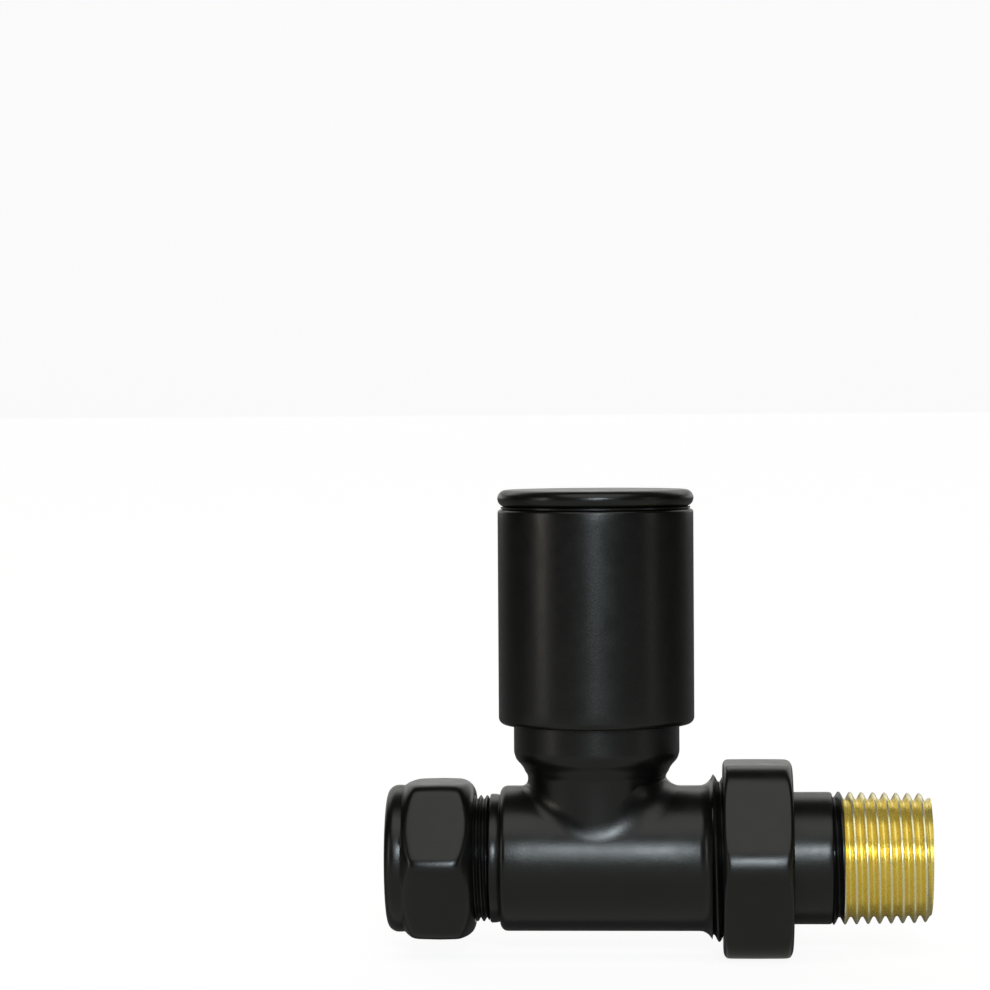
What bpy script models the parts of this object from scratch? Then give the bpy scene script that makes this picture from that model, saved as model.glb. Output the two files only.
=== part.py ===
"""Straight lockshield radiator valve, closed. Metres, +Z up, waterway along X, spindle axis along Z."""

import math

import bmesh
import bpy

MM = 0.001
TAU = 2 * math.pi
SMOOTH_BELOW = math.radians(32)

# Facets round each kind of piece. Pieces with a hexagon need a multiple of six.
FACETS_BODY = 30
FACETS_NECK = 36
FACETS_NUT = 30
FACETS_TAIL = 30
FACETS_CAP = 36
FACETS_BONNET = 24
FACETS_SPINDLE = 24
FACETS_SMALL = 18

# Pipe side, millimetres along X from the spindle axis.
BODY_LEFT = -26.0
SHOULDER_LEFT = -16.9
BARREL_LEFT = -15.3
BARREL_RADIUS = 11.5
SHOULDER_RADIUS = 10.2
M20_PITCH = 1.0
M20_CREST = 10.0
M20_ROOT = 9.39
M20_DATUM = -17.7
PIPE_BORE = 7.6
PIPE_STOP = -14.0
STOP_BORE = 6.6
MOUTH_SLOPE = 0.611
PIPE_CONE_END = -24.2

COMP_NUT_LEFT = -33.2
COMP_COLLAR_RIGHT = -30.2
COMP_NUT_RIGHT = -19.3
COMP_COLLAR_RADIUS = 11.64
COMP_COLLAR_ROUND = 1.8
COMP_ACROSS_FLATS = 24.3

# Radiator side.
BARREL_RIGHT = 16.2
G34_PITCH = 1.814
G34_CREST = 13.22
G34_ROOT = 12.06
G34_DATUM = 17.94
BODY_RIGHT = 26.7
SPIGOT_BORE = 8.6
WATER_BORE = 6.5

UNION_NUT_LEFT = 19.9
UNION_NUT_RIGHT = 30.85
UNION_ACROSS_FLATS = 30.4
UNION_HOLE = 10.65

TAIL_LEFT = 22.0
FLANGE_LEFT = 27.0
FLANGE_RIGHT = 29.0
FLANGE_RADIUS = 11.9
SHANK_RADIUS = 10.43
SHANK_RIGHT = 37.0
TAIL_RIGHT = 52.6
R12_PITCH = 1.814
R12_CREST = 10.5
R12_DEPTH = 1.162
R12_TAPER = 1 / 48
R12_DATUM = 37.75
KEY_ACROSS_FLATS = 10.0

HEX_TURN = math.radians(-0.4)
THREAD_GAP = 0.16

# Neck, millimetres along Z from the waterway axis.
WAIST_RADIUS = 10.93
BELL_RADIUS = 13.12
NECK_TOP = 28.0
CHAMBER_RADIUS = 8.0
CHAMBER_FLOOR = 0.9
BONNET_LEDGE = 17.5
BONNET_BORE = 9.7
SEAT_TOP = 1.6
PORT_RADIUS = 4.0
LOWER_CHANNEL_RADIUS = 4.3
LOWER_CHANNEL_Z = -5.0

# Head-work.
SPINDLE_PITCH = 1.5
SPINDLE_CREST = 4.7
SPINDLE_ROOT = 3.95
SPINDLE_DATUM = 8.0
SPINDLE_RADIUS = 3.8
BONNET_ACROSS_FLATS = 22.0
GLAND_ACROSS_FLATS = 12.0
SQUARE_ACROSS_FLATS = 5.4

# Cap.
CAP_BOTTOM = 21.4
SLEEVE_TOP = 55.4
DISC_BOTTOM = 55.8
DISC_TOP = 58.5
CAP_RADIUS = 15.5
DISC_RADIUS = 15.53
CAP_BORE = 13.9

BLACK_PAINT = (0.018, 0.018, 0.017)
BRASS = (0.56, 0.38, 0.10)
DARK_RUBBER = (0.012, 0.012, 0.012)
WHITE_NYLON = (0.75, 0.73, 0.68)
BLACK_NYLON = (0.03, 0.03, 0.03)
GREY_FIBRE = (0.22, 0.20, 0.18)
STEEL = (0.50, 0.50, 0.50)


def clear_scene():
    for old in list(bpy.data.objects):
        bpy.data.objects.remove(old, do_unlink=True)


def paint(name, colour, metallic, roughness):
    material = bpy.data.materials.new(name)
    material.use_nodes = True
    shader = material.node_tree.nodes["Principled BSDF"]
    shader.inputs["Base Color"].default_value = (*colour, 1.0)
    shader.inputs["Metallic"].default_value = metallic
    shader.inputs["Roughness"].default_value = roughness
    return material


def rounded(centre, radius, first, last, steps):
    """Points of an arc as (along the axis, radius), angles in degrees from the +axis direction."""
    points = []
    for step in range(steps + 1):
        angle = math.radians(first + (last - first) * step / steps)
        points.append((centre[0] + radius * math.cos(angle), centre[1] + radius * math.sin(angle)))
    return points


def polygon_radius(sides, across_flats, angle):
    """Radius of a regular polygon with a corner at angle zero."""
    half = math.pi / sides
    return across_flats / 2 / math.cos((angle % (2 * half)) - half)


def thread(start, stop, pitch, datum, crest, root, angle, first_angle):
    """Right-hand V thread between start and stop, with its crest at the datum on angle zero."""
    low = math.floor(2 * ((start - datum) / pitch - first_angle / TAU - 1))
    high = math.ceil(2 * ((stop - datum) / pitch - first_angle / TAU))
    points = []
    for half_turn in range(low, high + 1):
        along = datum + pitch * (half_turn / 2 + angle / TAU)
        along = min(max(along, start), stop)
        turn = ((along - datum) / pitch - angle / TAU) % 1.0
        depth = 1 - abs(2 * turn - 1)
        points.append((along, crest(along) + (root(along) - crest(along)) * depth))
    return points


def hex_outside(left, right, across_flats, chamfer_radius, slope, angle):
    """Outer points of a hexagon whose corners are cut by a cone at both ends."""
    full = polygon_radius(6, across_flats, angle)
    cut = min(full, chamfer_radius)
    inset = max(full - chamfer_radius, 0.0) * slope
    return [(left, cut), (left + inset, full), (right - inset, full), (right, cut)]


def place(axis, along, radius, angle):
    across = (radius * math.cos(angle), radius * math.sin(angle))
    if axis == "X":
        return (along, across[0], across[1])
    return (across[0], across[1], along)


def turned(name, axis, facets, section, material, origin=(0, 0, 0), ring=True, first_angle=0.0):
    """A closed solid from one section per facet line. A ring section goes round, any other starts and ends on the axis."""
    mesh = bmesh.new()
    columns = []
    for step in range(facets + 1):
        angle = first_angle + TAU * step / facets
        column = []
        for along, radius in section(angle):
            point = place(axis, along, radius, angle)
            column.append(mesh.verts.new([(p - o) * MM for p, o in zip(point, origin)]))
        columns.append(column)
    size = len(columns[0])
    spans = size if ring else size - 1
    for before, after in zip(columns, columns[1:]):
        for low in range(spans):
            high = (low + 1) % size
            mesh.faces.new((before[low], before[high], after[high], after[low]))
    bmesh.ops.remove_doubles(mesh, verts=mesh.verts, dist=2e-6)
    bmesh.ops.dissolve_degenerate(mesh, edges=mesh.edges, dist=2e-6)
    bmesh.ops.recalc_face_normals(mesh, faces=mesh.faces)
    data = bpy.data.meshes.new(name)
    mesh.to_mesh(data)
    mesh.free()
    data.shade_smooth()
    data.set_sharp_from_angle(angle=SMOOTH_BELOW)
    if material is not None:
        data.materials.append(material)
    made = bpy.data.objects.new(name, data)
    made.location = [value * MM for value in origin]
    bpy.context.scene.collection.objects.link(made)
    return made


def plain(points):
    return lambda angle: points


def o_ring(name, axis, along, centre, thickness, facets, sides, material):
    """A round-section ring. The first corner of the section faces outwards."""
    points = []
    for side in range(sides):
        turn = TAU * side / sides + math.pi / 2
        points.append((along + thickness * math.cos(turn), centre + thickness * math.sin(turn)))
    origin = (along, 0, 0) if axis == "X" else (0, 0, along)
    return turned(name, axis, facets, plain(points), material, origin)


def cutter(name, axis, facets, points, origin=(0, 0, 0)):
    made = turned(name, axis, facets, plain(points), None, ring=False)
    made.location = [value * MM for value in origin]
    made.hide_render = True
    made.display_type = "WIRE"
    return made


def combine(target, other, operation):
    modifier = target.modifiers.new(other.name, "BOOLEAN")
    modifier.object = other
    modifier.operation = operation
    modifier.solver = "EXACT"


def body_section(angle):
    """Barrel with both male threads, solid to the axis."""
    m20 = thread(
        BODY_LEFT, SHOULDER_LEFT - 0.3, M20_PITCH, M20_DATUM,
        lambda x: min(M20_CREST, 9.15 + (x - BODY_LEFT)), lambda x: min(M20_ROOT, 9.15 + (x - BODY_LEFT)),
        angle, 0.0,
    )
    g34 = thread(
        18.3, BODY_RIGHT, G34_PITCH, G34_DATUM,
        lambda x: min(G34_CREST, 12.1 + (BODY_RIGHT - x)), lambda x: min(G34_ROOT, 12.1 + (BODY_RIGHT - x)),
        angle, 0.0,
    )
    shoulder = [
        (SHOULDER_LEFT - 0.1, 9.3),
        (SHOULDER_LEFT + 0.15, SHOULDER_RADIUS),
        (BARREL_LEFT - 0.25, SHOULDER_RADIUS),
        (BARREL_LEFT - 0.05, SHOULDER_RADIUS - 0.15),
    ]
    barrel = rounded((BARREL_LEFT + 1.1, BARREL_RADIUS - 1.1), 1.1, 180, 90, 3)
    flare = [(BARREL_RIGHT, BARREL_RADIUS), (17.0, 11.7), (17.7, 12.2), (18.15, 12.9)]
    return [(BODY_LEFT, 0.0), *m20, *shoulder, *barrel, *flare, *g34, (BODY_RIGHT, 0.0)]


def make_body(material):
    body = turned("valve_body", "X", FACETS_BODY, body_section, material, ring=False)
    neck = cutter("neck_solid", "Z", FACETS_NECK, [
        (0.0, 0.0),
        (0.0, WAIST_RADIUS),
        (12.9, WAIST_RADIUS),
        (13.6, 11.2),
        (14.6, 11.7),
        (15.5, 12.4),
        (16.2, 12.9),
        (16.6, BELL_RADIUS),
        (NECK_TOP - 0.4, BELL_RADIUS),
        (NECK_TOP, BELL_RADIUS - 0.4),
        (NECK_TOP, 0.0),
    ])
    combine(body, neck, "UNION")
    seat_bore = cutter("seat_bore", "Z", FACETS_BODY, [
        (LOWER_CHANNEL_Z, 0.0),
        (LOWER_CHANNEL_Z, PORT_RADIUS),
        (SEAT_TOP, PORT_RADIUS),
        (SEAT_TOP, PORT_RADIUS + 1.2),
        (CHAMBER_FLOOR, PORT_RADIUS + 1.5),
        (CHAMBER_FLOOR, CHAMBER_RADIUS),
        (BONNET_LEDGE, CHAMBER_RADIUS),
        (BONNET_LEDGE, BONNET_BORE),
        (NECK_TOP - 0.4, BONNET_BORE),
        (NECK_TOP + 0.4, BONNET_BORE + 0.8),
        (NECK_TOP + 0.4, 0.0),
    ])
    combine(body, seat_bore, "DIFFERENCE")
    mouth = BODY_LEFT - 0.3
    pipe_socket = cutter("pipe_socket_bore", "X", FACETS_BODY, [
        (mouth, 0.0),
        (mouth, PIPE_BORE + (PIPE_CONE_END - mouth) * MOUTH_SLOPE),
        (PIPE_CONE_END, PIPE_BORE),
        (PIPE_STOP, PIPE_BORE),
        (PIPE_STOP, STOP_BORE),
        (PIPE_STOP + 2.5, STOP_BORE),
        (PIPE_STOP + 2.5, 0.0),
    ])
    combine(body, pipe_socket, "DIFFERENCE")
    channel = cutter("lower_channel", "X", 24, [
        (PIPE_STOP + 0.6, 0.0),
        (PIPE_STOP + 0.6, LOWER_CHANNEL_RADIUS),
        (4.0, LOWER_CHANNEL_RADIUS),
        (4.6, LOWER_CHANNEL_RADIUS - 0.6),
        (4.6, 0.0),
    ], (0, 0, LOWER_CHANNEL_Z))
    combine(body, channel, "DIFFERENCE")
    outlet = cutter("outlet_bore", "X", FACETS_BODY, [
        (6.4, 0.0),
        (6.4, WATER_BORE),
        (21.6, WATER_BORE),
        (21.6, SPIGOT_BORE),
        (BODY_RIGHT - 0.4, SPIGOT_BORE),
        (BODY_RIGHT + 0.4, SPIGOT_BORE + 0.8),
        (BODY_RIGHT + 0.4, 0.0),
    ])
    combine(body, outlet, "DIFFERENCE")


def compression_nut_section(angle):
    collar = rounded(
        (COMP_NUT_LEFT + COMP_COLLAR_ROUND, COMP_COLLAR_RADIUS - COMP_COLLAR_ROUND),
        COMP_COLLAR_ROUND, 180, 90, 4,
    )
    hexagon = hex_outside(
        COMP_COLLAR_RIGHT, COMP_NUT_RIGHT, COMP_ACROSS_FLATS, 12.55, 0.75, angle - HEX_TURN
    )
    mouth = COMP_NUT_RIGHT
    m20 = thread(
        -27.0, mouth, M20_PITCH, M20_DATUM,
        lambda x: max(M20_CREST + THREAD_GAP, 10.5 - (mouth - x)),
        lambda x: max(M20_ROOT + THREAD_GAP, 10.5 - (mouth - x)),
        angle, HEX_TURN,
    )
    inside = [
        *reversed(m20),
        (-27.1, 10.2),
        (-27.4, 10.2),
        (-27.4, 8.95),
        (-29.5, 7.65),
        (COMP_NUT_LEFT + 0.3, 7.65),
        (COMP_NUT_LEFT, 7.95),
    ]
    return [*collar, (COMP_COLLAR_RIGHT, COMP_COLLAR_RADIUS), *hexagon, *inside]


def union_nut_section(angle):
    hexagon = hex_outside(
        UNION_NUT_LEFT, UNION_NUT_RIGHT, UNION_ACROSS_FLATS, 15.7, 0.6, angle - HEX_TURN
    )
    mouth = UNION_NUT_LEFT
    g34 = thread(
        mouth, 27.5, G34_PITCH, G34_DATUM,
        lambda x: max(G34_CREST + THREAD_GAP, 13.9 - (x - mouth)),
        lambda x: max(G34_ROOT + THREAD_GAP, 13.9 - (x - mouth)),
        angle, HEX_TURN,
    )
    inside = [
        (UNION_NUT_RIGHT, UNION_HOLE + 0.3),
        (UNION_NUT_RIGHT - 0.3, UNION_HOLE),
        (FLANGE_RIGHT + 0.3, UNION_HOLE),
        (FLANGE_RIGHT + 0.3, 13.4),
        (27.6, 13.4),
    ]
    return [*hexagon, *inside, *reversed(g34)]


def tail_section(angle):
    def crest(x):
        return min(R12_CREST - (x - SHANK_RIGHT) * R12_TAPER, 9.5 + 0.7 * (TAIL_RIGHT - x))

    def root(x):
        return min(R12_CREST - R12_DEPTH - (x - SHANK_RIGHT) * R12_TAPER, 9.5 + 0.7 * (TAIL_RIGHT - x))

    r12 = thread(SHANK_RIGHT + 0.2, TAIL_RIGHT, R12_PITCH, R12_DATUM, crest, root, angle, 0.0)
    key = polygon_radius(6, KEY_ACROSS_FLATS, angle)
    outside = [
        (TAIL_LEFT, 8.0),
        (TAIL_LEFT + 0.35, 8.35),
        (23.7, 8.35),
        (23.7, 7.0),
        (25.3, 7.0),
        (25.3, 8.35),
        (FLANGE_LEFT, 8.35),
        (FLANGE_LEFT, FLANGE_RADIUS),
        (FLANGE_RIGHT, FLANGE_RADIUS),
        (FLANGE_RIGHT, SHANK_RADIUS),
        (SHANK_RIGHT, SHANK_RADIUS),
    ]
    inside = [
        (TAIL_RIGHT, WATER_BORE + 0.3),
        (TAIL_RIGHT - 0.3, WATER_BORE),
        (38.5, WATER_BORE),
        (38.0, key),
        (30.0, key),
        (29.5, 6.0),
        (TAIL_LEFT, 6.0),
    ]
    return [*outside, *r12, *inside]


def bonnet_section(angle):
    spindle_thread = thread(
        11.0, 20.0, SPINDLE_PITCH, SPINDLE_DATUM,
        lambda z: SPINDLE_CREST + THREAD_GAP, lambda z: SPINDLE_ROOT + THREAD_GAP,
        angle, 0.0,
    )
    hexagon = hex_outside(NECK_TOP + 0.3, 33.3, BONNET_ACROSS_FLATS, 12.0, 0.6, angle)
    outside = [
        (11.0, 7.6),
        (14.3, 7.6),
        (14.3, 6.6),
        (15.8, 6.6),
        (15.8, 7.6),
        (BONNET_LEDGE + 0.3, 7.6),
        (BONNET_LEDGE + 0.3, 9.5),
        (NECK_TOP + 0.3, 9.5),
    ]
    above = [
        (33.3, 11.4),
        (34.1, 11.4),
        (34.1, 10.5),
        (35.5, 10.5),
        (35.5, 11.4),
        (36.3, 11.4),
        (36.3, 7.4),
        (39.0, 7.4),
        (39.0, 5.2),
        (32.0, 5.2),
        (32.0, 4.05),
    ]
    return [*outside, *hexagon, *above, *reversed(spindle_thread)]


def spindle_section(angle):
    spindle_thread = thread(
        7.6, 15.5, SPINDLE_PITCH, SPINDLE_DATUM,
        lambda z: SPINDLE_CREST, lambda z: SPINDLE_ROOT, angle, 0.0,
    )
    square = min(polygon_radius(4, SQUARE_ACROSS_FLATS, angle), 3.55)
    return [
        (12.5, 0.0),
        (12.5, 2.15),
        (7.8, 2.15),
        (7.8, 1.6),
        (6.55, 1.6),
        (6.55, 3.5),
        (7.0, 3.8),
        *spindle_thread,
        (15.7, SPINDLE_RADIUS),
        (21.9, SPINDLE_RADIUS),
        (21.9, 2.9),
        (23.5, 2.9),
        (23.5, SPINDLE_RADIUS),
        (25.5, SPINDLE_RADIUS),
        (25.5, 2.9),
        (27.1, 2.9),
        (27.1, SPINDLE_RADIUS),
        (43.3, SPINDLE_RADIUS),
        (43.3, 3.1),
        (44.3, 3.1),
        (44.3, SPINDLE_RADIUS),
        (45.0, SPINDLE_RADIUS),
        (45.2, square),
        (49.6, square),
        (50.0, square - 0.4),
        (50.0, 0.0),
    ]


def make_head_work(brass, rubber, fibre, steel):
    turned("bonnet", "Z", FACETS_BONNET, bonnet_section, brass, (0, 0, 28))
    o_ring("bonnet_o_ring", "Z", 15.05, 7.27, 0.6, FACETS_BONNET, 6, rubber)
    turned("spindle", "Z", FACETS_SPINDLE, spindle_section, brass, (0, 0, 28), ring=False)
    o_ring("spindle_o_ring_lower", "Z", 22.7, 3.45, 0.5, FACETS_SMALL, 6, rubber)
    o_ring("spindle_o_ring_upper", "Z", 26.3, 3.45, 0.5, FACETS_SMALL, 6, rubber)
    turned("packing_ring", "Z", FACETS_SMALL, plain([
        (32.2, 4.0),
        (32.2, 5.0),
        (34.4, 5.0),
        (34.4, 4.0),
    ]), fibre, (0, 0, 33.3))
    turned("gland_nut", "Z", FACETS_SMALL, lambda angle: [
        (34.7, 4.05),
        (34.7, 5.0),
        (39.3, 5.0),
        *hex_outside(39.3, 43.0, GLAND_ACROSS_FLATS, 6.5, 0.6, angle),
        (43.0, 4.05),
    ], brass, (0, 0, 41))
    turned("jumper", "Z", FACETS_SMALL, plain([
        (9.2, 0.0),
        (9.2, 1.7),
        (8.9, 2.0),
        (8.0, 2.0),
        (8.0, 1.4),
        (6.4, 1.4),
        (6.4, 6.2),
        (5.9, 6.7),
        (2.9, 6.7),
        (2.9, 6.25),
        (3.9, 6.25),
        (3.9, 1.45),
        (5.7, 1.45),
        (5.7, 0.0),
    ]), brass, (0, 0, 5), ring=False)
    turned("seat_washer", "Z", FACETS_SMALL, plain([
        (1.75, 1.6),
        (1.75, 5.9),
        (1.95, 6.1),
        (3.75, 6.1),
        (3.75, 1.6),
    ]), rubber, (0, 0, 2.75))

    def screw(angle):
        socket = polygon_radius(6, 2.0, angle)
        return [
            (1.1, 0.0),
            (1.1, socket),
            (0.4, socket),
            (0.4, 2.2),
            (0.8, 2.6),
            (1.6, 2.6),
            (1.6, 1.3),
            (5.5, 1.3),
            (5.5, 0.0),
        ]

    turned("washer_screw", "Z", FACETS_SMALL, screw, brass, (0, 0, 2), ring=False)
    make_clip("spindle_clip", steel)


def make_clip(name, material):
    """An open ring that sits in the groove above the gland nut."""
    low, high, inner, outer = 43.4, 44.2, 3.25, 5.4
    half_gap = math.radians(32)
    steps = 16
    mesh = bmesh.new()
    rims = []
    for step in range(steps + 1):
        angle = half_gap + (TAU - 2 * half_gap) * step / steps
        corners = [(low, inner), (low, outer), (high, outer), (high, inner)]
        rim = []
        for along, radius in corners:
            x, y, z = place("Z", along, radius, angle)
            rim.append(mesh.verts.new((x * MM, y * MM, (z - low) * MM)))
        rims.append(rim)
    for before, after in zip(rims, rims[1:]):
        for corner in range(4):
            following = (corner + 1) % 4
            mesh.faces.new((before[corner], before[following], after[following], after[corner]))
    mesh.faces.new(rims[0])
    mesh.faces.new(list(reversed(rims[-1])))
    bmesh.ops.recalc_face_normals(mesh, faces=mesh.faces)
    data = bpy.data.meshes.new(name)
    mesh.to_mesh(data)
    mesh.free()
    data.shade_smooth()
    data.set_sharp_from_angle(angle=SMOOTH_BELOW)
    data.materials.append(material)
    made = bpy.data.objects.new(name, data)
    made.location = (0, 0, low * MM)
    bpy.context.scene.collection.objects.link(made)


def make_cap(black, white, rubber):
    turned("cap_sleeve", "Z", FACETS_CAP, plain([
        (CAP_BOTTOM, 14.4),
        *rounded((CAP_BOTTOM + 1.1, CAP_RADIUS - 1.1), 1.1, 180, 90, 3),
        *rounded((SLEEVE_TOP - 0.45, CAP_RADIUS - 0.45), 0.45, 90, 0, 2),
        (SLEEVE_TOP, 11.8),
        (53.2, 11.8),
        (53.2, 12.6),
        (49.3, 12.6),
        (49.3, CAP_BORE),
        (28.5, CAP_BORE),
        (28.2, 13.35),
        (27.5, 13.35),
        (27.2, CAP_BORE),
        (22.0, CAP_BORE),
    ]), black, (0, 0, CAP_BOTTOM))
    edge = (DISC_TOP - DISC_BOTTOM) / 2
    turned("cap_top_disc", "Z", FACETS_CAP, plain([
        (DISC_TOP, 0.0),
        *rounded((DISC_TOP - edge, DISC_RADIUS - edge), edge, 0, 180, 6),
        (DISC_BOTTOM, 15.0),
        (SLEEVE_TOP + 0.15, 15.0),
        (SLEEVE_TOP + 0.15, 11.5),
        (53.0, 11.5),
        (53.0, 12.0),
        (52.6, 12.0),
        (52.0, 11.4),
        (52.0, 10.0),
        (SLEEVE_TOP + 0.4, 10.0),
        (SLEEVE_TOP + 0.4, 0.0),
    ]), black, (0, 0, DISC_BOTTOM), ring=False)

    def insert(angle):
        grip = polygon_radius(6, BONNET_ACROSS_FLATS + 0.5, angle)
        return [
            (28.8, grip),
            (28.8, 13.6),
            (48.9, 13.6),
            (48.9, 12.0),
            (34.2, 12.0),
            (33.9, max(grip, 12.0)),
            (33.2, max(grip, 12.0)),
            (32.9, grip),
        ]

    turned("cap_insert", "Z", FACETS_CAP, insert, white, (0, 0, 28.8))
    o_ring("cap_grip_ring", "Z", 34.8, 11.13, 0.58, FACETS_CAP, 6, rubber)


def main():
    clear_scene()
    black = paint("black_powder_coat", BLACK_PAINT, 0.0, 0.45)
    brass = paint("brass", BRASS, 1.0, 0.3)
    rubber = paint("black_rubber", DARK_RUBBER, 0.0, 0.7)
    white = paint("white_nylon", WHITE_NYLON, 0.0, 0.5)
    fibre = paint("grey_fibre", GREY_FIBRE, 0.0, 0.8)
    steel = paint("spring_steel", STEEL, 1.0, 0.35)
    make_body(black)
    turned(
        "compression_nut", "X", FACETS_NUT, compression_nut_section, black,
        (COMP_NUT_RIGHT, 0, 0), first_angle=HEX_TURN,
    )
    turned("olive", "X", FACETS_SMALL, plain([
        (-28.7, 7.6),
        (-28.7, 7.85),
        (-27.6, 8.5),
        (-26.05, 8.5),
        (-24.95, 7.85),
        (-24.95, 7.6),
    ]), brass, (-26.8, 0, 0))
    turned(
        "union_nut", "X", FACETS_NUT, union_nut_section, black,
        (UNION_NUT_LEFT, 0, 0), first_angle=HEX_TURN,
    )
    turned("union_tail", "X", FACETS_TAIL, tail_section, brass, (FLANGE_LEFT, 0, 0))
    o_ring("tail_o_ring", "X", 24.5, 7.65, 0.58, FACETS_SMALL, 6, rubber)
    make_head_work(brass, rubber, fibre, steel)
    make_cap(black, white, rubber)


main()
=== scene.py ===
"""Straight lockshield radiator valve in black powder coat with a bare brass tail thread."""

import math

import bmesh
import bpy
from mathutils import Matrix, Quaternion, Vector


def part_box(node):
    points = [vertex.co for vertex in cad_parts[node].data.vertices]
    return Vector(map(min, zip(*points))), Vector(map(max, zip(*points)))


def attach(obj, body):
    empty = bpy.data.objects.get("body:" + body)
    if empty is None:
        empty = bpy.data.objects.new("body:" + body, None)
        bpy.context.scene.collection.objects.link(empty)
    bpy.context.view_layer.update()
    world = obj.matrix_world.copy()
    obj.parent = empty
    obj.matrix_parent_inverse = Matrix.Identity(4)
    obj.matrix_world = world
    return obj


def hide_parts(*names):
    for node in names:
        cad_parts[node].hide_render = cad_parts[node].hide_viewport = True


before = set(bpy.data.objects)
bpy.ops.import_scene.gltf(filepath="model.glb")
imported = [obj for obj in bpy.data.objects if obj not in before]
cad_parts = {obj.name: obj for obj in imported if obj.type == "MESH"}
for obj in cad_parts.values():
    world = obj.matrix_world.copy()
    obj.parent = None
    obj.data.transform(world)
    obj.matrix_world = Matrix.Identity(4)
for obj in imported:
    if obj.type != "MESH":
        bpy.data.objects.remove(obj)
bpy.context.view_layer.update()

MM = 0.001
TAU = 2 * math.pi


def span(node, axis):
    """Lowest and highest place of a node along an axis, in millimetres."""
    low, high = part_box(node)
    return low[axis] / MM, high[axis] / MM


BODY_LEFT, BODY_RIGHT = span("valve_body", 0)
NECK_TOP = span("valve_body", 2)[1]
COMP_LEFT, COMP_RIGHT = span("compression_nut", 0)
UNION_LEFT, UNION_RIGHT = span("union_nut", 0)
TAIL_LEFT, TAIL_RIGHT = span("union_tail", 0)
CAP_BOTTOM, SLEEVE_TOP = span("cap_sleeve", 2)
DISC_TOP = span("cap_top_disc", 2)[1]

# Sizes are in millimetres. The origin is where the neck's axis crosses the waterway's axis.
# Barrel and the shoulder beside its pipe thread.
BARREL_LEFT = -15.3
BARREL_RIGHT = 16.2
BARREL_RADIUS = 11.5
BARREL_EDGE = 1.15
BARREL_SUPPORT = 4.0
SHOULDER_LEFT = -16.9
SHOULDER_RADIUS = 10.2
SHOULDER_EDGE = 0.25
UNION_THREAD_LEFT = 18.3

# Neck, its bell and the fillet at its foot.
WAIST_RADIUS = 10.93
BELL_RADIUS = 13.12
BELL_BORE = 9.7
BELL_FLOOR = 17.5
NECK_BORE = 8.0
NECK_EDGE = 0.4
NECK_SINK = 0.9
FRONT_BALL_LEFT = 5.5
FRONT_BALL_RIGHT = 10.5
FILLET_SKIRT = 1.2
FILLET_STEPS = 10

# Waterway, from the pipe socket under the seat and on to the tail.
INLET_RIGHT = -11.5
INLET_RADIUS = 6.6
PIPE_STOP = -14.0
PIPE_SOCKET = 7.6
OLIVE_CONE = -24.2
OUTLET_LEFT = 6.4
OUTLET_RADIUS = 6.5
SPIGOT_STOP = 21.6
SPIGOT_SOCKET = 8.6
SEAT_TOP = 1.6
SEAT_BORE = 4.0
INLET_DROP = -5.0
DROP_BORE = 4.3

# Nuts.
HEX_TURN = math.radians(-0.4)
COLLAR_RADIUS = 11.64
COLLAR_EDGE = 1.7
COMP_FLATS = 24.5
COMP_CORNER = 2.8
COMP_THREAD_END = -27.0
COMP_BORE = 7.65
UNION_FLATS = 30.4
UNION_CORNER = 6.0
UNION_THREAD_END = 27.5
UNION_BORE = 10.65
CONE_STEPS = (0.0, 0.06, 0.14, 0.25, 0.4, 0.6, 0.8, 1.05, 1.3, 1.6, 1.95, 2.4, 3.0, 3.8)

# Tail.
SHANK_RIGHT = 37.0
SHANK_RADIUS = 10.43
PAINT_EDGE = 38.8
SPIGOT_RADIUS = 8.35
O_RING_GROOVE = 7.0
FLANGE_LEFT = 27.0
FLANGE_RIGHT = 29.0
FLANGE_RADIUS = 11.9
FLANGE_EDGE = 0.2
TAIL_BORE = 6.0
TAIL_MOUTH = 6.5
KEY_FLATS = 10.0
R12_TAPER = 1 / 48
RUN_IN_DEPTH = 0.35
RUN_IN_LENGTH = 0.9

# Shield and its end disc.
SLEEVE_RADIUS = 15.5
SLEEVE_FOOT = 1.1
SLEEVE_EDGE = 0.45
SLEEVE_BORE = 13.9
CARRIER_SEAT = 12.6
CARRIER_FLOOR = 49.3
DISC_RADIUS = 15.53
DISC_NECK = 15.0
DISC_SPIGOT = 11.5
DISC_HOLE = 11.8
DISC_LEDGE = 53.2

# Threads. The datum is the place of a crest on angle zero.
M20 = {"pitch": 1.0, "datum": -17.7, "crest": 10.0, "root": 9.39}
G34 = {"pitch": 1.814, "datum": 17.94, "crest": 13.22, "root": 12.06}
R12 = {"pitch": 1.814, "datum": 37.75, "crest": 10.5, "root": 9.338}
THREAD_GAP = 0.16

# Fineness of the meshes.
BARREL_FACETS = 180
NECK_FACETS = 192
TAIL_FACETS = 168
CAP_FACETS = 240
SHARP_ANGLE = 34
WELD = 0.001 * MM

# ---------------------------------------------------------------- shapes


def rounded(centre, radius, first, last, steps):
    """Points of an arc as (along the axis, radius), angles in degrees from the +axis direction."""
    points = []
    for step in range(steps + 1):
        angle = math.radians(first + (last - first) * step / steps)
        points.append((centre[0] + radius * math.cos(angle), centre[1] + radius * math.sin(angle)))
    return points


def softer(a, b, blend):
    """The smaller of two radii, with the corner between them rounded."""
    return (a + b - math.sqrt((a - b) ** 2 + blend**2)) / 2


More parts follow.
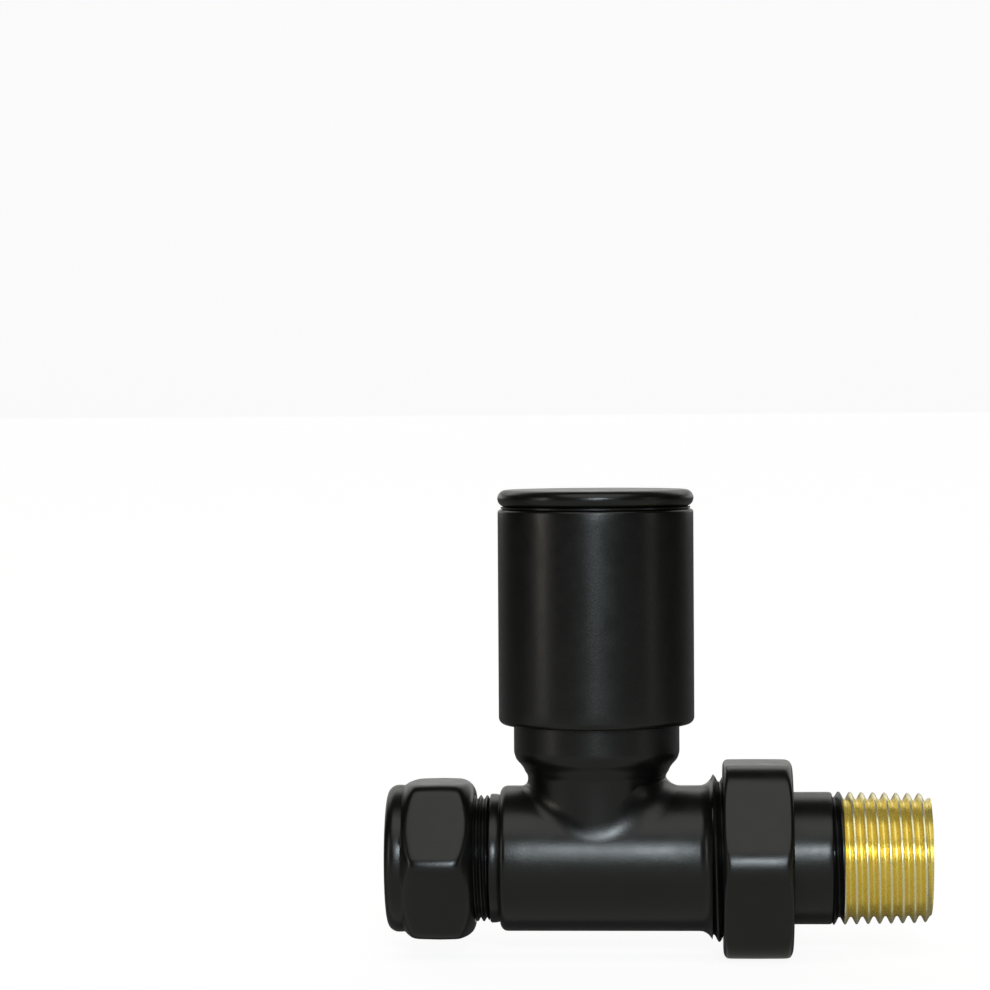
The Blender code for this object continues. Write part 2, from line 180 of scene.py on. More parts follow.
def hexagon_radius(across_flats, angle, edge):
    """Radius of a hexagon with a rounded corner at angle zero."""
    half = math.pi / 6
    off = abs((angle + half) % (2 * half) - half)
    apothem = across_flats / 2
    if apothem * math.tan(half - off) <= (apothem - edge) * math.tan(half):
        return apothem / math.cos(half - off)
    centre = (apothem - edge) / math.cos(half)
    return centre * math.cos(off) + math.sqrt(edge**2 - (centre * math.sin(off)) ** 2)


def hexagon_angles(first_angle):
    """Angles that crowd together near the corners of a hexagon."""
    half = 30
    inside = [0.8 * step for step in range(13)] + [11.5, 14.5, 18, 22, 26, half]
    sector = inside[:-1] + [2 * half - s for s in reversed(inside)][:-1]
    angles = [math.radians(2 * half * side + s) for side in range(6) for s in sector]
    return [first_angle + a for a in angles] + [first_angle + TAU]


def even(facets):
    return [TAU * step / facets for step in range(facets + 1)]


def thread(start, stop, form, angle, bound, first_angle=0.0, lift=None, steps=10):
    """Right-hand thread with slightly rounded crests and roots between start and stop.

    The bound turns a radius into the one allowed at a place, and the lift raises the roots.
    """
    pitch, datum = form["pitch"], form["datum"]
    low = math.floor(steps * ((start - datum) / pitch - first_angle / TAU - 1))
    high = math.ceil(steps * ((stop - datum) / pitch - first_angle / TAU))
    points = []
    for tick in range(low, high + 1):
        along = min(max(datum + pitch * (tick / steps + angle / TAU), start), stop)
        turn = ((along - datum) / pitch - angle / TAU) % 1.0
        rise = min(max((abs(2 * turn - 1) - 0.12) / 0.76, 0.0), 1.0)
        rise = 0.6 * rise + 0.2 * (1 - math.cos(math.pi * rise))
        crest = bound(along, form["crest"])
        root = bound(along, form["root"] + (lift(along) if lift else 0.0))
        points.append((along, root + (crest - root) * rise))
    return points


def female(form):
    """The form of a thread in a nut, clear of the male thread."""
    return {**form, "crest": form["crest"] + THREAD_GAP, "root": form["root"] + THREAD_GAP}


def place(axis, along, radius, angle):
    across = (radius * math.cos(angle), radius * math.sin(angle))
    if axis == "X":
        return (along, across[0], across[1])
    return (across[0], across[1], along)


def turned(name, axis, angles, section, ring=True):
    """A solid from one section per angle. Faces after a None in the section take the second material."""
    mesh = bmesh.new()
    columns = []
    for angle in angles:
        points = section(angle)
        first_size = points.index(None) if None in points else len(points)
        places = [place(axis, *point, angle) for point in points if point]
        columns.append([mesh.verts.new([v * MM for v in spot]) for spot in places])
    size = len(columns[0])
    for before, after in zip(columns, columns[1:]):
        for low in range(size if ring else size - 1):
            high = (low + 1) % size
            face = mesh.faces.new((before[low], before[high], after[high], after[low]))
            face.material_index = int(low >= first_size)
    bmesh.ops.remove_doubles(mesh, verts=mesh.verts, dist=WELD)
    bmesh.ops.dissolve_degenerate(mesh, edges=mesh.edges, dist=WELD)
    bmesh.ops.recalc_face_normals(mesh, faces=mesh.faces)
    return finished(name, mesh)


def finished(name, mesh):
    data = bpy.data.meshes.new(name)
    mesh.to_mesh(data)
    mesh.free()
    data.shade_smooth()
    data.set_sharp_from_angle(angle=math.radians(SHARP_ANGLE))
    made = bpy.data.objects.new(name, data)
    bpy.context.scene.collection.objects.link(made)
    return made


def plain(points):
    return lambda angle: points


def fitted(made, body, slot, node, *materials):
    """Gives a piece its materials and its place in the frame."""
    for material in materials:
        made.data.materials.append(material)
    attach(made, body)
    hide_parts(node)


def cut(target, axis, facets, points, shift=(0, 0, 0)):
    """Takes a turned shape out of the target."""
    tool = turned("tool", axis, even(facets), plain(points), ring=False)
    tool.location = [v * MM for v in shift]
    modifier = target.modifiers.new("cut", "BOOLEAN")
    modifier.object = tool
    modifier.operation = "DIFFERENCE"
    modifier.solver = "EXACT"
    bpy.context.view_layer.objects.active = target
    bpy.ops.object.modifier_apply(modifier=modifier.name)
    bpy.data.objects.remove(tool, do_unlink=True)
    target.data.set_sharp_from_angle(angle=math.radians(SHARP_ANGLE))


# ---------------------------------------------------------------- materials


class Look:
    """The nodes of one material."""

    def __init__(self, name):
        self.material = bpy.data.materials.new(name)
        self.material.use_nodes = True
        self.tree = self.material.node_tree
        self.shader = self.tree.nodes["Principled BSDF"]
        self.place = self.tree.nodes.new("ShaderNodeTexCoord").outputs["Object"]

    def add(self, kind, **settings):
        node = self.tree.nodes.new(kind)
        for key, value in settings.items():
            setattr(node, key, value)
        return node

    def join(self, source, target):
        self.tree.links.new(source, target)

    def noise(self, scale, detail=2, stretch=(1, 1, 1)):
        """Noise over the piece. The scale counts blobs per millimetre."""
        mapping = self.add("ShaderNodeMapping")
        mapping.inputs["Scale"].default_value = [s * scale / MM for s in stretch]
        self.join(self.place, mapping.inputs["Vector"])
        noise = self.add("ShaderNodeTexNoise")
        noise.inputs["Scale"].default_value = 1.0
        noise.inputs["Detail"].default_value = detail
        self.join(mapping.outputs["Vector"], noise.inputs["Vector"])
        return noise.outputs["Fac"]

    def radius(self, start, taper):
        """Distance from the waterway axis in millimetres, with a taper from start taken out."""
        parts = self.add("ShaderNodeSeparateXYZ")
        self.join(self.place, parts.inputs["Vector"])
        flat = self.add("ShaderNodeCombineXYZ")
        self.join(parts.outputs["Y"], flat.inputs["Y"])
        self.join(parts.outputs["Z"], flat.inputs["Z"])
        length = self.add("ShaderNodeVectorMath", operation="LENGTH")
        self.join(flat.outputs["Vector"], length.inputs[0])
        grown = self.add("ShaderNodeMath", operation="MULTIPLY_ADD")
        self.join(parts.outputs["X"], grown.inputs[0])
        grown.inputs[1].default_value = taper
        self.join(length.outputs["Value"], grown.inputs[2])
        scaled = self.add("ShaderNodeMath", operation="MULTIPLY_ADD")
        self.join(grown.outputs["Value"], scaled.inputs[0])
        scaled.inputs[1].default_value = 1 / MM
        scaled.inputs[2].default_value = -taper * start
        return scaled.outputs["Value"]

    def between(self, source, low, high, start=0.35, stop=0.65):
        """Maps a source that runs from start to stop onto low to high."""
        mapped = self.add("ShaderNodeMapRange")
        mapped.inputs["From Min"].default_value = start
        mapped.inputs["From Max"].default_value = stop
        mapped.inputs["To Min"].default_value = low
        mapped.inputs["To Max"].default_value = high
        self.join(source, mapped.inputs["Value"])
        return mapped.outputs["Result"]

    def colours(self, source, stops):
        """Base colour from stops of (place on the source, colour)."""
        ramp = self.add("ShaderNodeValToRGB")
        elements = ramp.color_ramp.elements
        elements[0].position = stops[0][0]
        elements[-1].position = stops[-1][0]
        elements[0].color = (*stops[0][1], 1)
        elements[-1].color = (*stops[-1][1], 1)
        for where, colour in stops[1:-1]:
            elements.new(where).color = (*colour, 1)
        self.join(source, ramp.inputs["Fac"])
        self.join(ramp.outputs["Color"], self.shader.inputs["Base Color"])

    def roughness(self, scale, low, high):
        """Roughness that wanders between two values in blobs of this scale."""
        self.join(self.between(self.noise(scale, 3), low, high), self.shader.inputs["Roughness"])

    def bumps(self, layers):
        """Each layer is (height source, depth in millimetres)."""
        normal = None
        for source, depth in layers:
            bump = self.add("ShaderNodeBump")
            bump.inputs["Strength"].default_value = 1.0
            bump.inputs["Distance"].default_value = depth * MM
            self.join(source, bump.inputs["Height"])
            if normal:
                self.join(normal, bump.inputs["Normal"])
            normal = bump.outputs["Normal"]
        self.join(normal, self.shader.inputs["Normal"])

    def set(self, **values):
        """Inputs of the shader by name, with _ for a space."""
        for key, value in values.items():
            self.shader.inputs[key.replace("_", " ")].default_value = value


def black_powder_coat():
    look = Look("black_powder_coat")
    look.colours(look.noise(0.12, 3), [(0.3, (0.0030, 0.0032, 0.0027)), (0.7, (0.0046, 0.0048, 0.0041))])
    look.roughness(0.35, 0.28, 0.33)
    look.bumps([(look.noise(0.8, 2), 0.006), (look.noise(2.8, 2), 0.009), (look.noise(6.0, 2), 0.004)])
    return look.material


def bare_brass():
    look = Look("bare_brass")
    look.set(Metallic=0.7, Coat_Weight=0.22, Coat_Roughness=0.06)
    # The crests are painted near-white. This is partly polish from wear and partly a painted highlight,
    # the line of front light along each crest. Between the crests the tone wanders at random.
    top = R12["crest"]
    crest = look.between(look.radius(SHANK_RIGHT, R12_TAPER), 0.0, 1.0, top - 0.36, top - 0.06)
    crest_wear_and_highlight = look.add("ShaderNodeMix", data_type="FLOAT")
    look.join(crest, crest_wear_and_highlight.inputs[0])
    look.join(look.between(look.noise(0.25, 4), 0.0, 0.35, 0.3, 0.7), crest_wear_and_highlight.inputs[2])
    crest_wear_and_highlight.inputs[3].default_value = 1.0
    look.colours(crest_wear_and_highlight.outputs[0], [
        (0.0, (0.93, 0.76, 0.18)),
        (0.35, (0.96, 0.79, 0.24)),
        (1.0, (0.99, 0.91, 0.54)),
    ])
    look.roughness(0.6, 0.22, 0.32)
    look.bumps([(look.noise(9.0, 2, stretch=(1, 0.05, 0.05)), 0.0002), (look.noise(2.0, 2), 0.0001)])
    return look.material


def turned_brass():
    look = Look("turned_brass")
    look.set(Metallic=1.0)
    look.colours(look.noise(0.3, 4), [(0.3, (0.58, 0.38, 0.11)), (0.7, (0.74, 0.53, 0.19))])
    look.roughness(1.2, 0.22, 0.36)
    look.bumps([(look.noise(8.0, 2, stretch=(0.1, 0.1, 1)), 0.0015)])
    return look.material


def soft_rubber():
    look = Look("soft_rubber")
    look.colours(look.noise(0.8, 3), [(0.3, (0.010, 0.010, 0.010)), (0.7, (0.020, 0.020, 0.021))])
    look.roughness(1.5, 0.55, 0.75)
    look.bumps([(look.noise(3.0, 2), 0.004)])
    return look.material


def white_nylon():
    look = Look("white_nylon")
    look.set(Subsurface_Weight=0.1, Subsurface_Scale=0.001)
    look.colours(look.noise(0.3, 2), [(0.3, (0.66, 0.64, 0.58)), (0.7, (0.74, 0.72, 0.67))])
    look.roughness(1.0, 0.42, 0.55)
    look.bumps([(look.noise(2.0, 2), 0.004)])
    return look.material


def pressed_fibre():
    look = Look("pressed_fibre")
    look.colours(look.noise(1.6, 5), [(0.3, (0.14, 0.12, 0.10)), (0.7, (0.30, 0.27, 0.23))])
    look.set(Roughness=0.85)
    look.bumps([(look.noise(4.0, 4), 0.02)])
    return look.material


def spring_steel():
    look = Look("spring_steel")
    look.set(Metallic=1.0)
    look.colours(look.noise(0.8, 3), [(0.3, (0.42, 0.42, 0.43)), (0.7, (0.60, 0.60, 0.61))])
    look.roughness(2.0, 0.24, 0.38)
    look.bumps([(look.noise(5.0, 2, stretch=(1, 1, 0.2)), 0.001)])
    return look.material


paint = black_powder_coat()
brass = bare_brass()
cut_brass = turned_brass()
rubber = soft_rubber()

# ---------------------------------------------------------------- tee body


def barrel_section(angle):
    """Barrel with both male threads and the waterway."""
    left, right = BODY_LEFT, BODY_RIGHT
    m20 = thread(left, SHOULDER_LEFT - 0.25, M20, angle, lambda x, r: min(r, 9.15 + (x - left)))
    g34 = thread(UNION_THREAD_LEFT, right, G34, angle, lambda x, r: min(r, 12.1 + (right - x)))
    edge = (SHOULDER_LEFT + SHOULDER_EDGE, SHOULDER_RADIUS - SHOULDER_EDGE)
    shoulder = [
        (SHOULDER_LEFT - 0.1, 9.35),
        (SHOULDER_LEFT - 0.02, 9.7),
        *rounded(edge, SHOULDER_EDGE, 180, 90, 4),
        (BARREL_LEFT - 0.7, SHOULDER_RADIUS - 0.02),
        (BARREL_LEFT - 0.35, SHOULDER_RADIUS - 0.08),
        (BARREL_LEFT - 0.12, SHOULDER_RADIUS - 0.15),
        (BARREL_LEFT - 0.03, SHOULDER_RADIUS - 0.08),
    ]
    edge = (BARREL_LEFT + BARREL_EDGE, BARREL_RADIUS - BARREL_EDGE)
    barrel = [
        *rounded(edge, BARREL_EDGE, 178, 90, 8),
        (BARREL_LEFT + BARREL_SUPPORT, BARREL_RADIUS),
        (BARREL_RIGHT - BARREL_SUPPORT, BARREL_RADIUS),
        (BARREL_RIGHT, BARREL_RADIUS),
    ]
    flare = [
        (16.7, 11.56),
        (17.2, 11.78),
        (17.6, 12.08),
        (17.95, 12.5),
        (18.15, 12.85),
    ]
    inside_left = [
        (INLET_RIGHT, 0.0),
        (INLET_RIGHT, INLET_RADIUS),
        (PIPE_STOP, INLET_RADIUS),
        (PIPE_STOP, PIPE_SOCKET),
        (OLIVE_CONE, PIPE_SOCKET),
        (left, 8.7),
    ]
    inside_right = [
        (right, SPIGOT_SOCKET + 0.4),
        (right - 0.4, SPIGOT_SOCKET),
        (SPIGOT_STOP, SPIGOT_SOCKET),
        (SPIGOT_STOP, OUTLET_RADIUS),
        (OUTLET_LEFT, OUTLET_RADIUS),
        (OUTLET_LEFT, 0.0),
    ]
    return [*inside_left, *m20, *shoulder, *barrel, *flare, *g34, *inside_right]


def fillet_ball(angle):
    """Radius of the ball that rolls between neck and barrel, and radius of the neck it touches."""
    side_ball = 1.9 + 0.8 * math.cos(angle)
    front = math.sin(angle) ** 2
    right = min(max(0.5 + 0.9 * math.cos(angle), 0.0), 1.0)
    right *= right * (3 - 2 * right)
    front_ball = FRONT_BALL_LEFT + (FRONT_BALL_RIGHT - FRONT_BALL_LEFT) * right
    ball = side_ball + (front_ball - side_ball) * front**1.5
    return ball, WAIST_RADIUS - 0.17 * (1 + math.cos(angle)) - 0.3 * front


def neck_section(angle):
    """Ring of the neck. Its foot follows the barrel it grows out of."""
    ball, neck = fillet_ball(angle)
    foot = math.sqrt(BARREL_RADIUS**2 - (neck * math.sin(angle)) ** 2) - NECK_SINK
    touch = math.sqrt((BARREL_RADIUS + ball) ** 2 - ((neck + ball) * math.sin(angle)) ** 2)
    return [
        (foot, NECK_BORE),
        (foot, neck),
        (min(touch + 0.4, 12.2), neck),
        (12.95, WAIST_RADIUS),
        (13.25, 10.98),
        (13.55, 11.12),
        (13.9, 11.36),
        (14.3, 11.54),
        (14.7, 11.76),
        (15.1, 12.08),
        (15.45, 12.40),
        (15.75, 12.66),
        (16.05, 12.84),
        (16.4, 12.96),
        (16.8, 13.08),
        (17.2, BELL_RADIUS),
        (17.6, BELL_RADIUS),
        (NECK_TOP - 0.9, BELL_RADIUS),
        (NECK_TOP - NECK_EDGE, BELL_RADIUS),
        (NECK_TOP, BELL_RADIUS - NECK_EDGE),
        (NECK_TOP, BELL_BORE + NECK_EDGE),
        (NECK_TOP - NECK_EDGE, BELL_BORE),
        (BELL_FLOOR, BELL_BORE),
        (BELL_FLOOR, NECK_BORE),
    ]


def fillet_arc(angle):
    """Centre and size of the rolling ball, and the ways from it to the neck and to the barrel."""
    ball, neck = fillet_ball(angle)
    out = neck + ball
    side = out * math.sin(angle)
    up = math.sqrt((BARREL_RADIUS + ball) ** 2 - side**2)
    centre = Vector((out * math.cos(angle), side, up))
    to_neck = Vector((-math.cos(angle), -math.sin(angle), 0))
    to_barrel = Vector((0, -side, -up)) / (BARREL_RADIUS + ball)
    return centre, ball, to_neck, to_barrel


def make_fillet():
    """The rolling-ball fillet between neck and barrel, with a skirt sunk into each."""
    mesh = bmesh.new()
    columns = []
    for angle in even(NECK_FACETS):
        centre, ball, to_neck, to_barrel = fillet_arc(angle)
        ways = [to_neck.slerp(to_barrel, step / FILLET_STEPS) for step in range(FILLET_STEPS + 1)]
        column = [centre + ball * way for way in ways]
        column.append(column[-1] + FILLET_SKIRT * to_barrel)
        column.append(column[0] + FILLET_SKIRT * to_neck)
        columns.append([mesh.verts.new(point * MM) for point in column])
    size = len(columns[0])
    for before, after in zip(columns, columns[1:]):
        for low in range(size):
            high = (low + 1) % size
            mesh.faces.new((before[low], before[high], after[high], after[low]))
    bmesh.ops.remove_doubles(mesh, verts=mesh.verts, dist=WELD)
    bmesh.ops.recalc_face_normals(mesh, faces=mesh.faces)
    return finished("neck_fillet", mesh)


def cut_seat(barrel):
    """The way up through the seat into the neck."""
    cut(barrel, "Z", 48, [
        (INLET_DROP, 0.0),
        (INLET_DROP, SEAT_BORE),
        (SEAT_TOP, SEAT_BORE),
        (SEAT_TOP, 5.2),
        (0.9, 5.5),
        (0.9, NECK_BORE),
        (13.0, NECK_BORE),
        (13.0, 0.0),
    ])


def cut_inlet(barrel):
    """The way from the inlet to the underside of the seat."""
    cut(barrel, "X", 32, [
        (-13.4, 0.0),
        (-13.4, DROP_BORE),
        (SEAT_BORE, DROP_BORE),
        (SEAT_BORE + 0.6, DROP_BORE - 0.6),
        (SEAT_BORE + 0.6, 0.0),
    ], (0, 0, INLET_DROP))


barrel = turned("tee_barrel", "X", even(BARREL_FACETS), barrel_section, ring=False)
cut_seat(barrel)
cut_inlet(barrel)
neck = turned("tee_neck", "Z", even(NECK_FACETS), neck_section)
for piece in (barrel, neck, make_fillet()):
    fitted(piece, "valve", "black_powder_coat", "valve_body", paint)

# ---------------------------------------------------------------- nuts and tail


def hex_end(end, inward, full, radius, rise, blend, lip):
    """Soft conical end of a hexagon. The cone starts at the radius, and the lip rounds off its edge."""
    points = []
    for step in CONE_STEPS:
        left_over = max(lip - step, 0.0)
        drop = lip - math.sqrt(lip**2 - left_over**2)
        points.append((end + inward * step, softer(full, radius + rise * step, blend) - drop))
    return points


def compression_nut_section(angle):
    mouth = COMP_RIGHT
    collar = [
        (COMP_LEFT, 8.6),
        *rounded((COMP_LEFT + COLLAR_EDGE, COLLAR_RADIUS - COLLAR_EDGE), COLLAR_EDGE, 180, 90, 10),
        (COMP_LEFT + 2.2, COLLAR_RADIUS),
        (COMP_LEFT + 2.6, COLLAR_RADIUS - 0.04),
    ]
    full = hexagon_radius(COMP_FLATS, angle - HEX_TURN, COMP_CORNER)
    hexagon = [
        *hex_end(COMP_LEFT + 2.85, 1, full, 11.95, 1.35, 0.8, 0.0),
        ((COMP_LEFT + mouth) / 2 + 1.5, full),
        *reversed(hex_end(mouth, -1, full, 11.15, 1.25, 0.6, 0.6)),
    ]
    m20 = thread(
        COMP_THREAD_END, mouth, female(M20), angle, lambda x, r: max(r, 10.3 - (mouth - x)),
        first_angle=HEX_TURN, steps=8,
    )
    inside = [
        (COMP_THREAD_END - 0.1, 10.2),
        (COMP_THREAD_END - 0.4, 10.2),
        (COMP_THREAD_END - 0.4, 8.95),
        (-29.5, COMP_BORE),
        (COMP_LEFT + 0.3, COMP_BORE),
        (COMP_LEFT, COMP_BORE + 0.3),
    ]
    return [*collar, *hexagon, *reversed(m20), *inside]


def union_nut_section(angle):
    mouth = UNION_LEFT
    full = hexagon_radius(UNION_FLATS, angle - HEX_TURN, UNION_CORNER)
    hexagon = [
        *hex_end(mouth, 1, full, 15.4, 2.2, 0.4, 0.4),
        ((mouth + UNION_RIGHT) / 2, full),
        *reversed(hex_end(UNION_RIGHT, -1, full, 15.3, 1.8, 0.5, 0.6)),
    ]
    g34 = thread(
        mouth, UNION_THREAD_END, female(G34), angle, lambda x, r: max(r, 13.9 - (x - mouth)),
        first_angle=HEX_TURN, steps=8,
    )
    inside = [
        (UNION_RIGHT, UNION_BORE + 0.3),
        (UNION_RIGHT - 0.3, UNION_BORE),
        (29.3, UNION_BORE),
        (29.3, 13.4),
        (UNION_THREAD_END + 0.1, 13.4),
    ]
    return [*hexagon, *inside, *reversed(g34)]


def tail_bound(along, radius):
    """Taper of the tail thread and the cone at its end."""
    return min(radius - (along - SHANK_RIGHT) * R12_TAPER, 9.45 + 0.7 * (TAIL_RIGHT - along))


def tail_run_in(along):
    """How much shallower the tail thread is where it starts."""
    return RUN_IN_DEPTH * max(0.0, 1 - max(along - SHANK_RIGHT - 0.2, 0) / RUN_IN_LENGTH)


def tail_thread(start, stop, angle):
    return thread(start, stop, R12, angle, tail_bound, lift=tail_run_in, steps=14)


def tail_section(angle):
    """Tail from the spigot to the radiator end. Its thread is bare from the paint edge on."""
    key = hexagon_radius(KEY_FLATS, angle, 0.2)
    outside = [
        (TAIL_LEFT, SPIGOT_RADIUS - 0.35),
        (TAIL_LEFT + 0.35, SPIGOT_RADIUS),
        (23.7, SPIGOT_RADIUS),
        (23.7, O_RING_GROOVE),
        (25.3, O_RING_GROOVE),
        (25.3, SPIGOT_RADIUS),
        (FLANGE_LEFT, SPIGOT_RADIUS),
        (FLANGE_LEFT, FLANGE_RADIUS - FLANGE_EDGE),
        (FLANGE_LEFT + FLANGE_EDGE, FLANGE_RADIUS),
        (FLANGE_RIGHT - FLANGE_EDGE, FLANGE_RADIUS),
        (FLANGE_RIGHT, FLANGE_RADIUS - FLANGE_EDGE),
        (FLANGE_RIGHT, SHANK_RADIUS),
        (SHANK_RIGHT - 1.0, SHANK_RADIUS),
        (SHANK_RIGHT - 0.4, SHANK_RADIUS),
        (SHANK_RIGHT - 0.1, SHANK_RADIUS - 0.07),
        (SHANK_RIGHT + 0.08, SHANK_RADIUS - 0.28),
    ]
    painted = tail_thread(SHANK_RIGHT + 0.2, PAINT_EDGE, angle)
    bare = tail_thread(PAINT_EDGE, TAIL_RIGHT, angle)
    inside = [
        (TAIL_RIGHT, TAIL_MOUTH + 0.3),
        (TAIL_RIGHT - 0.3, TAIL_MOUTH),
        (38.5, TAIL_MOUTH),
        (38.0, key),
        (30.0, key),
        (29.5, TAIL_BORE),
        (TAIL_LEFT, TAIL_BORE),
    ]
    return [*outside, *painted[:-1], None, *bare, *inside]


hex_angles = hexagon_angles(HEX_TURN)
nut = turned("pipe_side_nut", "X", hex_angles, compression_nut_section)
fitted(nut, "compression_nut", "black_powder_coat", "compression_nut", paint)
nut = turned("radiator_side_nut", "X", hex_angles, union_nut_section)
fitted(nut, "union_nut", "black_powder_coat", "union_nut", paint)
tail = turned("radiator_tail", "X", even(TAIL_FACETS), tail_section)
fitted(tail, "tail", "brass", "union_tail", paint, brass)

# ---------------------------------------------------------------- cap


def sleeve_points():
    low, high = CAP_BOTTOM, SLEEVE_TOP
    return [
        (low, 14.35),
        *rounded((low + SLEEVE_FOOT, SLEEVE_RADIUS - SLEEVE_FOOT), SLEEVE_FOOT, 180, 90, 9),
        (low + 3.0, SLEEVE_RADIUS),
        (high - 2.0, SLEEVE_RADIUS),
        *rounded((high - SLEEVE_EDGE, SLEEVE_RADIUS - SLEEVE_EDGE), SLEEVE_EDGE, 90, 0, 7),
        (high, DISC_HOLE),
        (DISC_LEDGE, DISC_HOLE),
        (DISC_LEDGE, CARRIER_SEAT),
        (CARRIER_FLOOR, CARRIER_SEAT),
        (CARRIER_FLOOR, SLEEVE_BORE),
        (28.5, SLEEVE_BORE),
        (28.2, 13.35),
        (27.5, 13.35),
        (27.2, SLEEVE_BORE),
        (low + 0.6, SLEEVE_BORE),
    ]


def disc_points():
    top, bottom = DISC_TOP, SLEEVE_TOP + 0.4
    edge = (top - bottom) / 2
    return [
        (top, 0.0),
        (top, 6.0),
        (top, 13.2),
        *rounded((top - edge, DISC_RADIUS - edge), edge, 0, 180, 18),
        (bottom, DISC_NECK),
        (SLEEVE_TOP + 0.15, DISC_NECK),
        (SLEEVE_TOP + 0.15, DISC_SPIGOT),
        (53.0, DISC_SPIGOT),
        (53.0, DISC_SPIGOT + 0.5),
        (52.6, DISC_SPIGOT + 0.5),
        (52.0, DISC_SPIGOT - 0.1),
        (52.0, 10.0),
        (bottom, 10.0),
        (bottom, 0.0),
    ]


sleeve = turned("shield_sleeve", "Z", even(CAP_FACETS), plain(sleeve_points()))
fitted(sleeve, "cap", "black_powder_coat", "cap_sleeve", paint)
disc = turned("shield_disc", "Z", even(CAP_FACETS), plain(disc_points()), ring=False)
fitted(disc, "cap", "black_powder_coat", "cap_top_disc", paint)

# ---------------------------------------------------------------- pieces kept from the CAD

kept = {
    "olive": cut_brass,
    "bonnet": cut_brass,
    "spindle": cut_brass,
    "gland_nut": cut_brass,
    "jumper": cut_brass,
    "washer_screw": cut_brass,
    "tail_o_ring": rubber,
    "bonnet_o_ring": rubber,
    "spindle_o_ring_lower": rubber,
    "spindle_o_ring_upper": rubber,
    "seat_washer": rubber,
    "cap_grip_ring": rubber,
    "packing_ring": pressed_fibre(),
    "cap_insert": white_nylon(),
    "spindle_clip": spring_steel(),
}
for node, material in kept.items():
    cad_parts[node].material_slots[0].material = material

# ---------------------------------------------------------------- stage, light and camera

FLOOR_SEEN = 0.9
FLOOR_LIT = 0.03
FLOOR_FRONT = -900
BACKDROP = 900
BACKDROP_HEIGHT = 700
BACKDROP_SWEEP = 300
HALF_WIDTH = 1600
WORLD_LIT = 0.01

CAMERA_LENS = 133.2
CAMERA_PLACE = (0.014, -0.580, 0.070)
CAMERA_TARGET = (-0.0159, 0, 0.0577)
CAMERA_ROLL = math.radians(-0.36)


def camera_only(tree, seen, lit):
    """A strength for what the camera sees that differs from what lights the object."""
    path = tree.nodes.new("ShaderNodeLightPath")
    choose = tree.nodes.new("ShaderNodeMapRange")
    choose.inputs["To Min"].default_value = lit
    choose.inputs["To Max"].default_value = seen
    tree.links.new(path.outputs["Is Camera Ray"], choose.inputs["Value"])
    return choose.outputs["Result"]


def floor_material():
    material = bpy.data.materials.new("pale_floor")
    material.use_nodes = True
    shader = material.node_tree.nodes["Principled BSDF"]
    shader.inputs["Base Color"].default_value = (0.2, 0.2, 0.2, 1)
    shader.inputs["Roughness"].default_value = 0.9
    shader.inputs["Specular IOR Level"].default_value = 0.1
    shader.inputs["Emission Color"].default_value = (1, 1, 1, 1)
    strength = camera_only(material.node_tree, FLOOR_SEEN, FLOOR_LIT)
    material.node_tree.links.new(strength, shader.inputs["Emission Strength"])
    return material


def make_stage():
    """A pale floor that curves up into a backdrop."""
    floor = span("union_nut", 2)[0] - 0.15
    bend = BACKDROP - BACKDROP_SWEEP
    line = [(FLOOR_FRONT, floor), (bend, floor)]
    for step in range(1, 13):
        angle = math.radians(90 * step / 12)
        along = bend + BACKDROP_SWEEP * math.sin(angle)
        line.append((along, floor + BACKDROP_SWEEP * (1 - math.cos(angle))))
    line.append((BACKDROP, floor + BACKDROP_HEIGHT))
    mesh = bmesh.new()
    sides = (-HALF_WIDTH, HALF_WIDTH)
    rows = [[mesh.verts.new((x * MM, y * MM, z * MM)) for x in sides] for y, z in line]
    for low, high in zip(rows, rows[1:]):
        mesh.faces.new((low[0], low[1], high[1], high[0]))
    made = finished("pale_floor", mesh)
    made.data.materials.append(floor_material())


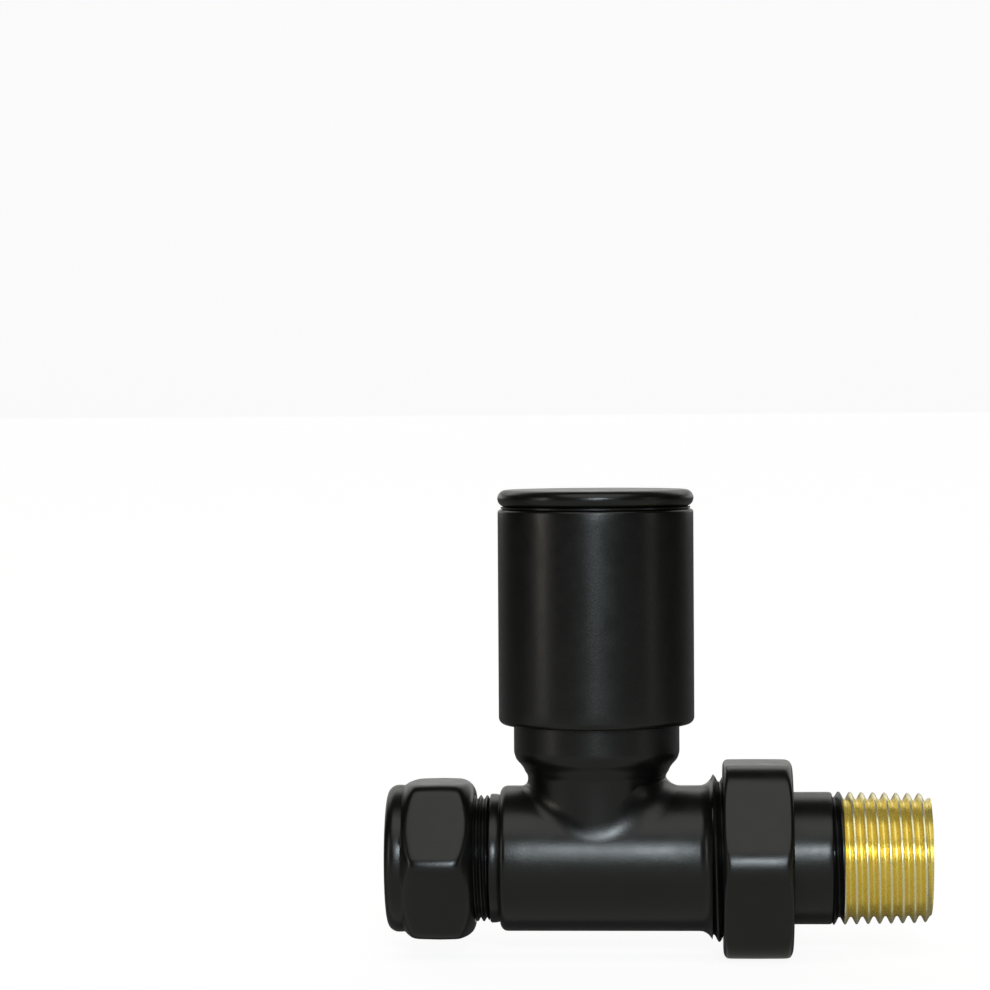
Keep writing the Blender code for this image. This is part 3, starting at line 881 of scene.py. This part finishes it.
def area_light(name, centre, size, power, colour, aim=(0, 0, 0.02)):
    data = bpy.data.lights.new(name, "AREA")
    data.shape = "RECTANGLE"
    data.size = size[0]
    data.size_y = size[1]
    data.energy = power
    data.color = colour
    light = bpy.data.objects.new(name, data)
    light.location = centre
    light.visible_camera = False
    light.rotation_euler = (Vector(aim) - Vector(centre)).to_track_quat("-Z", "Y").to_euler()
    bpy.context.scene.collection.objects.link(light)


def make_light():
    world = bpy.data.worlds.new("studio")
    world.use_nodes = True
    background = world.node_tree.nodes["Background"]
    background.inputs["Color"].default_value = (1, 1, 1, 1)
    strength = camera_only(world.node_tree, 1.0, WORLD_LIT)
    world.node_tree.links.new(strength, background.inputs["Strength"])
    bpy.context.scene.world = world
    area_light("front", (0.1, -1.2, 0.44), (0.28, 0.17), 5.1, (0.86, 0.95, 1.0))
    area_light("low", (0.0, -1.2, 0.2), (0.07, 0.24), 0.9, (0.84, 0.95, 1.0))
    area_light("bounce", (0.0, -0.22, -0.0153), (0.9, 0.43), 0.31, (1.0, 1.0, 0.93), (0.0, -0.22, 1.0))
    area_light("top", (0.0, -0.56, 1.05), (1.3, 0.85), 4.1, (1.0, 0.99, 0.94))
    area_light("back_low", (0.0, 0.8, 0.14), (1.6, 0.24), 1.05, (1.0, 1.0, 0.97))
    area_light("back_high", (0.0, 0.52, 0.42), (1.2, 0.3), 1.3, (1.0, 1.0, 0.97))
    area_light("left", (-1.02, -0.49, 0.2), (0.16, 0.6), 1.2, (1.0, 0.94, 0.83))
    area_light("right", (1.07, -0.41, 0.2), (0.16, 0.6), 0.33, (1.0, 0.95, 0.86))


def make_camera():
    data = bpy.data.cameras.new("camera")
    data.lens = CAMERA_LENS
    data.sensor_width = 36
    data.clip_start = 0.01
    data.clip_end = 20
    camera = bpy.data.objects.new("camera", data)
    camera.location = CAMERA_PLACE
    aim = (Vector(CAMERA_TARGET) - camera.location).to_track_quat("-Z", "Y")
    camera.rotation_euler = (aim @ Quaternion((0, 0, 1), CAMERA_ROLL)).to_euler()
    bpy.context.scene.collection.objects.link(camera)
    bpy.context.scene.camera = camera


make_stage()
make_light()
make_camera()
bpy.context.scene.view_settings.view_transform = "Standard"
